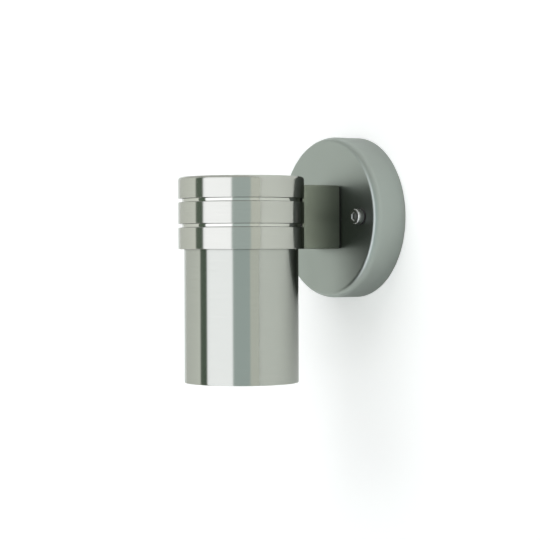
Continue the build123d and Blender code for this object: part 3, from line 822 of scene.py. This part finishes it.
class LIGHT_OT_cap_screws(bpy.types.Operator):
    """Models the two hex-socket cap screws and their seals"""

    bl_idname = "wall_light.cap_screws"
    bl_label = "Cap screws"

    def execute(self, context):
        s = context.scene.light_screw
        across = context.scene.light_canopy.screw_across
        seal_r, seal_bore = 0.00475, 0.00255
        for side, x in (("left", -across), ("right", across)):
            place = OUT_OF_WALL @ Matrix.Translation((x, 0, s.seat))
            piece = make_object(self.screw(s), f"cap_screw_{side}_body", place, sharp=30)
            fit(piece, f"{side}_screw", f"cap_screw_{side}", f"screw_{side}")
            points = [(seal_r, 0), (seal_r, -s.seal), (seal_bore, -s.seal), (seal_bore, 0)]
            seal = turned_piece(points, {0: 0.0002, 1: 0.0002}, 64)
            seal = make_object(seal, f"screw_seal_{side}_ring", place)
            fit(seal, f"{side}_seal", f"screw_seal_{side}", "black_rubber")
        return {"FINISHED"}

    def screw(self, s):
        """The head with its hex socket, the core and the helical thread."""
        foot_round, top_round = 0.00015, 0.0007
        neck_r, neck_length = s.thread_radius * 0.9, 0.0006
        core_r = s.thread_radius - 0.0004
        core_length = s.seat - s.tip
        bm = bmesh.new()
        outline = [(neck_r, 0), (s.head_radius, 0), (s.head_radius, s.head_height),
                   (s.head_radius * 0.78, s.head_height)]
        verts = [bm.verts.new((x, 0, z)) for x, z in outline]
        bm.faces.new(verts)
        for vert, radius in ((verts[1], foot_round), (verts[2], top_round)):
            round_corners(bm, [vert], radius, 5)
        drop_faces(bm)
        ends = {verts[0], verts[3]}
        closing = [e for e in bm.edges if set(e.verts) == ends]
        bmesh.ops.delete(bm, geom=closing, context="EDGES")
        turn_round(bm, 72)
        ring = [e for e in bm.edges if e.is_boundary and e.verts[0].co.z > s.head_height / 2]
        foot = [e for e in bm.edges if e.is_boundary and e.verts[0].co.z < s.head_height / 2]
        self.socket(bm, s, ring)
        neck = carry_ring(bm, foot, neck_length, core_r / neck_r)
        tip = carry_ring(bm, neck, core_length - neck_length)
        bmesh.ops.contextual_create(bm, geom=tip)
        tidy(bm)
        self.thread(bm, s, core_r, core_length)
        return bm

    def socket(self, bm, s, ring):
        """Sinks a chamfered hexagon with a shallow drill point into the head."""
        chamfer, drill_point = 0.0003, 0.0004
        corner_r = s.socket / 2 / math.cos(math.radians(30))
        top = Matrix.Translation((0, 0, s.head_height))
        hexagon = bmesh.ops.create_circle(bm, radius=corner_r + chamfer, segments=6, matrix=top)
        sides = edges_of(hexagon["verts"])
        bmesh.ops.triangle_fill(bm, edges=ring + sides, use_beauty=True, normal=(0, 0, 1))
        walls = carry_ring(bm, sides, chamfer, corner_r / (corner_r + chamfer))
        floor = carry_ring(bm, walls, s.socket_depth - chamfer)
        bmesh.ops.contextual_create(bm, geom=carry_ring(bm, floor, drill_point, 0.02))

    def thread(self, bm, s, core_r, length):
        """A closed ridge that climbs the core."""
        turns = int((length - 0.0022) / s.pitch)
        steps = 28
        half = s.pitch * 0.42
        start = -length + half + 0.0002
        root_r, crest_r, crest = core_r - 0.0001, s.thread_radius, 0.0001
        ridge = [(root_r, -half), (crest_r, -crest), (crest_r, crest), (root_r, half)]
        verts = [bm.verts.new((x, 0, start + z)) for x, z in ridge]
        before = set(bm.faces)
        face = bm.faces.new(verts)
        whole = [face] + list(face.edges) + list(face.verts)
        bmesh.ops.duplicate(bm, geom=whole)  # the first cap
        bmesh.ops.spin(
            bm, geom=whole, cent=(0, 0, 0), axis=(0, 0, 1), dvec=(0, 0, s.pitch / steps),
            angle=FULL_TURN * turns, steps=steps * turns, use_merge=False, use_duplicate=False,
        )
        verts = list({v for f in bm.faces if f not in before for v in f.verts})
        bmesh.ops.remove_doubles(bm, verts=verts, dist=1e-7)
        bmesh.ops.recalc_face_normals(bm, faces=[f for f in bm.faces if f not in before])


class LIGHT_OT_lamp(bpy.types.Operator):
    """Models the lamp's faceted reflector, capsule and front glass"""

    bl_idname = "wall_light.lamp"
    bl_label = "Lamp"

    def execute(self, context):
        out = context.scene.light_arm.head_out
        neck, neck_r, face, radius, thick = -0.0243, 0.014, -0.0578, 0.025, 0.0013
        rim = face + 0.004
        outer = self.bowl(neck_r, radius, neck, rim)
        inner = self.bowl(neck_r - thick, radius - thick, neck, rim)
        points = outer + [(radius, face), (radius - thick, face)] + inner[::-1]
        bm = turned_piece(points, {}, 36)
        axis = Matrix.Translation((0, -out, 0))
        reflector = make_object(bm, "lamp_reflector_bowl", axis, sharp=60)
        for polygon in reflector.data.polygons:
            spot = Vector((polygon.center.x, polygon.center.y + out, 0))
            polygon.use_smooth = polygon.normal.dot(spot) >= 0  # the facets are on the inside
        fit(reflector, "lamp", "lamp_reflector", "reflector_coating")
        glass_r = radius - thick - 0.00005
        glass_low, glass_high = face + 0.001, face + 0.0026
        capsule_r, capsule_low = 0.0045, neck - 0.018
        for name, node, points, rounds, steps in (
            ("lamp_front_disc", "lamp_front_glass",
             [(0, glass_low), (glass_r, glass_low), (glass_r, glass_high), (0, glass_high)],
             {1: 0.0002, 2: 0.0002}, 128),
            ("lamp_capsule_bulb", "lamp_capsule",
             [(0, neck), (capsule_r, neck), (capsule_r, capsule_low), (0, capsule_low)],
             {2: 0.0040}, 64),
        ):
            fit(head_piece(points, rounds, name, steps), "lamp", node, "lamp_glass")
        return {"FINISHED"}

    def bowl(self, small, large, top, bottom, bulge=0.0034):
        """Points along an arc from the neck to the rim that bulges outwards."""
        start, end = Vector((small, top)), Vector((large, bottom))
        side = (end - start).orthogonal().normalized()
        if side.x < 0:
            side = -side
        steps = 8
        points = []
        for n in range(steps + 1):
            t = n / steps
            points.append(tuple(start.lerp(end, t) + side * bulge * 4 * t * (1 - t)))
        return points


NODE_FINISHES = {
    "black_rubber": ("canopy_gasket", "arm_gasket", "cable_grommet", "head_grommet", "tube_seal"),
    "zinc_steel": ("wall_bracket", "lampholder_bracket", "arm_wall_plate", "arm_saddle"),
    "screw_steel": ("arm_wall_screws", "arm_head_screws", "lampholder_screws", "lampholder_nuts",
                    "lampholder_bracket_screw", "terminal_fixing_screw", "terminal_screws",
                    "earth_screw", "earth_washer"),
    "white_ceramic": ("lampholder", "lamp_base"),
    "plated_brass": ("lampholder_contacts", "lamp_pins", "earth_lugs"),
    "brass": ("terminal_inserts",),
    "terminal_nylon": ("terminal_block",),
    "brown_insulation": ("live_wire",),
    "blue_insulation": ("neutral_wire",),
    "green_yellow_insulation": ("earth_wire",),
}


class LIGHT_OT_inner_parts(bpy.types.Operator):
    """Gives the pieces that stay as the frame has them their finishes"""

    bl_idname = "wall_light.inner_parts"
    bl_label = "Inner parts"

    def execute(self, context):
        for finish, names in NODE_FINISHES.items():
            for name in names:
                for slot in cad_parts[name].material_slots:
                    slot.material = FINISHES[finish]
        return {"FINISHED"}


class LIGHT_OT_finishes(bpy.types.Operator):
    """Builds the materials"""

    bl_idname = "wall_light.finishes"
    bl_label = "Finishes"

    def execute(self, context):
        make_finishes(context.scene)
        return {"FINISHED"}


# Stage

# Reflected panels: their tones, and where each tone starts and ends round the object in degrees
PANELS = {
    "far_grey": (0.63, 0.64, 0.62),
    "grey": (0.80, 0.81, 0.79),
    "flag": (0.106, 0.137, 0.108),
    "softbox": (1.45, 1.43, 1.56),
    "side": (0.49, 0.56, 0.575),
    "room": (0.7, 0.71, 0.68),
    "ceiling": (0.5, 0.51, 0.5),
}
PANEL_EDGES = (
    (-90, "far_grey"), (-36, "grey"), (-34, "flag"), (-19, "flag"), (-15.5, "softbox"),
    (37, "softbox"), (40.5, "side"), (73, "side"), (74, "room"),
)
BRIGHTEST = 1.6  # a ramp holds no more than 1, so the tones are divided by this first
SECOND_FADE = 0.85  # how much a reflection of a reflection loses
ROOM_LIGHT = 0.5
WALL_GLOW = 0.32
FLOOR_GLOW = 0.6
STAGE_SIZE = 3
FLOOR_DROP = 0.9


def fades(tree, colour, strength=1.0):
    """A glow seen by reflections, weaker in the reflection of a reflection."""
    depth = put(tree, "ShaderNodeLightPath").outputs["Glossy Depth"]
    again = maths(tree, "GREATER_THAN", depth, 1.5)
    share = maths(tree, "MULTIPLY_ADD", again, -SECOND_FADE * strength, strength)
    return vectors(tree, "SCALE", {0: colour, "Scale": share})[0]


def seen_directly(tree):
    """A mask of what the camera sees, straight or through glass."""
    path = put(tree, "ShaderNodeLightPath").outputs
    return maths(tree, "MAXIMUM", path["Is Camera Ray"], path["Is Transmission Ray"])


def panel_tone(name):
    return tuple(c / BRIGHTEST for c in PANELS[name])


def studio_world():
    """A plain white room to the eye, and soft panels round the object for its reflections."""
    world = bpy.data.worlds.new("studio")
    bpy.context.scene.world = world
    world.use_nodes = True
    tree = world.node_tree
    tree.nodes.clear()
    way = axes(tree, put(tree, "ShaderNodeTexCoord").outputs["Generated"])
    angle = maths(tree, "ARCTAN2", way["X"], maths(tree, "MULTIPLY", way["Y"], -1.0))
    turn = maths(tree, "MULTIPLY_ADD", angle, 1 / FULL_TURN, 0.5)
    panels = ramp(tree, turn, [(at / 360 + 0.5, panel_tone(name)) for at, name in PANEL_EDGES])
    high, low = (span(tree, way["Z"], *ends) for ends in ((0.25, 0.7), (-0.85, -0.97)))
    far = maths(tree, "MAXIMUM", high, low)
    panels = tinted(tree, far, panels, rgba(panel_tone("ceiling")))
    plain, shown, clear = (
        put(tree, "ShaderNodeBackground", {"Color": colour, "Strength": strength}).outputs[0]
        for colour, strength in (
            ((0.86, 0.87, 0.88, 1), ROOM_LIGHT), (fades(tree, panels, BRIGHTEST), 1),
            ((1, 1, 1, 1), 1),
        )
    )
    glossy = put(tree, "ShaderNodeLightPath").outputs["Is Glossy Ray"]
    lit = put(tree, "ShaderNodeMixShader", {0: glossy, 1: plain, 2: shown}).outputs[0]
    final = put(tree, "ShaderNodeMixShader", {0: seen_directly(tree), 1: lit, 2: clear})
    put(tree, "ShaderNodeOutputWorld", {0: final.outputs[0]})


def wall_material(name, colour, glow, see_through):
    """Pale paint that shows near white and keeps the object's shadow."""
    material, tree, shader, place = new_material(name)
    cloud = noise(tree, place, 3.0, 2.0)
    paint = tinted(tree, cloud, rgba(colour, 0.99), rgba(colour, 1.01))
    tree.links.new(fades(tree, paint), shader.inputs["Base Color"])
    shader.inputs["Roughness"].default_value = 0.9
    shader.inputs["Specular IOR Level"].default_value = 0.0
    shader.inputs["Emission Color"].default_value = (0.985, 1.0, 0.99, 1)
    glows = maths(tree, "MULTIPLY", seen_directly(tree), glow)
    tree.links.new(glows, shader.inputs["Emission Strength"])
    if see_through:
        out = next(n for n in tree.nodes if n.bl_idname == "ShaderNodeOutputMaterial")
        clear = put(tree, "ShaderNodeBsdfTransparent").outputs[0]
        back = put(tree, "ShaderNodeNewGeometry").outputs["Backfacing"]
        mixed = put(tree, "ShaderNodeMixShader", {0: back, 1: shader.outputs[0], 2: clear})
        tree.links.new(mixed.outputs[0], out.inputs["Surface"])
    return material


class LIGHT_OT_stage(bpy.types.Operator):
    """Sets up the wall, floor, lamps and camera"""

    bl_idname = "wall_light.stage"
    bl_label = "Stage"

    def execute(self, context):
        paint = tuple(context.scene.light_finishes.wall_paint)
        self.wall(paint, context.scene.light_canopy.radius - 0.005)
        self.floor(paint)
        studio_world()
        self.lamps()
        self.camera(context)
        context.scene.view_settings.view_transform = "Standard"
        return {"FINISHED"}

    def wall(self, paint, hole_r):
        """A wall with a round opening behind the canopy, so that the canopy's inside is lit too."""
        gap = 0.0002
        bm = bmesh.new()
        made = bmesh.ops.create_grid(bm, x_segments=1, y_segments=1, size=STAGE_SIZE)
        edges = edges_of(made["verts"])
        drop_faces(bm)
        plate_with_holes(bm, edges, [(0, 0, hole_r)], 0)
        wall = make_object(bm, "stage_wall", OUT_OF_WALL @ Matrix.Translation((0, 0, -gap)))
        wall.data.materials.append(wall_material("stage_wall_paint", paint, WALL_GLOW, True))
        if wall.data.polygons[0].normal.y > 0:
            wall.data.flip_normals()

    def floor(self, paint):
        bm = bmesh.new()
        bmesh.ops.create_grid(bm, x_segments=1, y_segments=1, size=STAGE_SIZE)
        place = Matrix.Translation((0, -STAGE_SIZE, -FLOOR_DROP))
        floor = make_object(bm, "stage_floor", place)
        floor.data.materials.append(wall_material("stage_floor_paint", paint, FLOOR_GLOW, False))
        floor.visible_glossy = False

    def lamps(self):
        for name, place, size, power in (
            ("soft_key", (-0.5, -2.6, 2.8), 4.0, 76.0),
            ("soft_fill", (1.6, -4.0, 0.0), 3.0, 22.0),
        ):
            lamp = bpy.data.lights.new(name, "AREA")
            lamp.shape = "DISK"
            lamp.size = size
            lamp.energy = power
            made = bpy.data.objects.new(name, lamp)
            made.location = place
            aim = Vector((0, -0.05, -0.03)) - Vector(place)
            made.rotation_euler = aim.to_track_quat("-Z", "Y").to_euler()
            made.visible_glossy = False
            bpy.context.scene.collection.objects.link(made)

    def camera(self, context):
        """The photograph's viewpoint: beside the light, level with the collar's foot, well off."""
        azimuth, elevation, roll = (math.radians(a) for a in (55.252, 0.638, -0.215))
        distance, right_shift, drop = 1.02198, 0.01602, 0.029613
        ahead = Vector((
            -math.sin(azimuth) * math.cos(elevation), math.cos(azimuth) * math.cos(elevation),
            -math.sin(elevation),
        ))
        level = Vector((math.cos(azimuth), math.sin(azimuth), 0))
        upright = level.cross(ahead)
        right = level * math.cos(roll) + upright * math.sin(roll)
        up = upright * math.cos(roll) - level * math.sin(roll)
        aim = Vector((0, -context.scene.light_arm.head_out, 0))
        place = aim - ahead * distance + right * right_shift - up * drop
        camera = bpy.data.cameras.new("camera")
        camera.sensor_width = 36
        camera.lens = 122.586
        camera.clip_start = 0.01
        camera.clip_end = 100
        made = bpy.data.objects.new("camera", camera)
        turned = Matrix((right, up, -ahead)).transposed().to_4x4()
        made.matrix_world = Matrix.Translation(place) @ turned
        context.scene.collection.objects.link(made)
        context.scene.camera = made


# Add-on


STEPS = (
    LIGHT_OT_finishes, LIGHT_OT_canopy, LIGHT_OT_arm, LIGHT_OT_collar, LIGHT_OT_tube,
    LIGHT_OT_lens, LIGHT_OT_cap_screws, LIGHT_OT_lamp, LIGHT_OT_inner_parts, LIGHT_OT_stage,
)


class LIGHT_PT_panel(bpy.types.Panel):
    """Lists the steps in the sidebar"""

    bl_idname = "LIGHT_PT_panel"
    bl_label = "Tube wall light"
    bl_space_type = "VIEW_3D"
    bl_region_type = "UI"
    bl_category = "Wall light"

    def draw(self, context):
        for step in STEPS:
            self.layout.operator(step.bl_idname)


GROUPS = {
    "light_canopy": CanopySizes, "light_arm": ArmSizes, "light_head": HeadSizes,
    "light_screw": ScrewSizes, "light_finishes": Finishes,
}


def register():
    for name, group in GROUPS.items():
        bpy.utils.register_class(group)
        setattr(bpy.types.Scene, name, PointerProperty(type=group))
    for kind in (*STEPS, LIGHT_PT_panel):
        bpy.utils.register_class(kind)


def unregister():
    for kind in reversed((*STEPS, LIGHT_PT_panel)):
        bpy.utils.unregister_class(kind)
    for name, group in reversed(GROUPS.items()):
        delattr(bpy.types.Scene, name)
        bpy.utils.unregister_class(group)


def main():
    register()
    for step in STEPS:
        family, name = step.bl_idname.split(".")
        getattr(getattr(bpy.ops, family), name)()


if __name__ == "__main__":
    main()
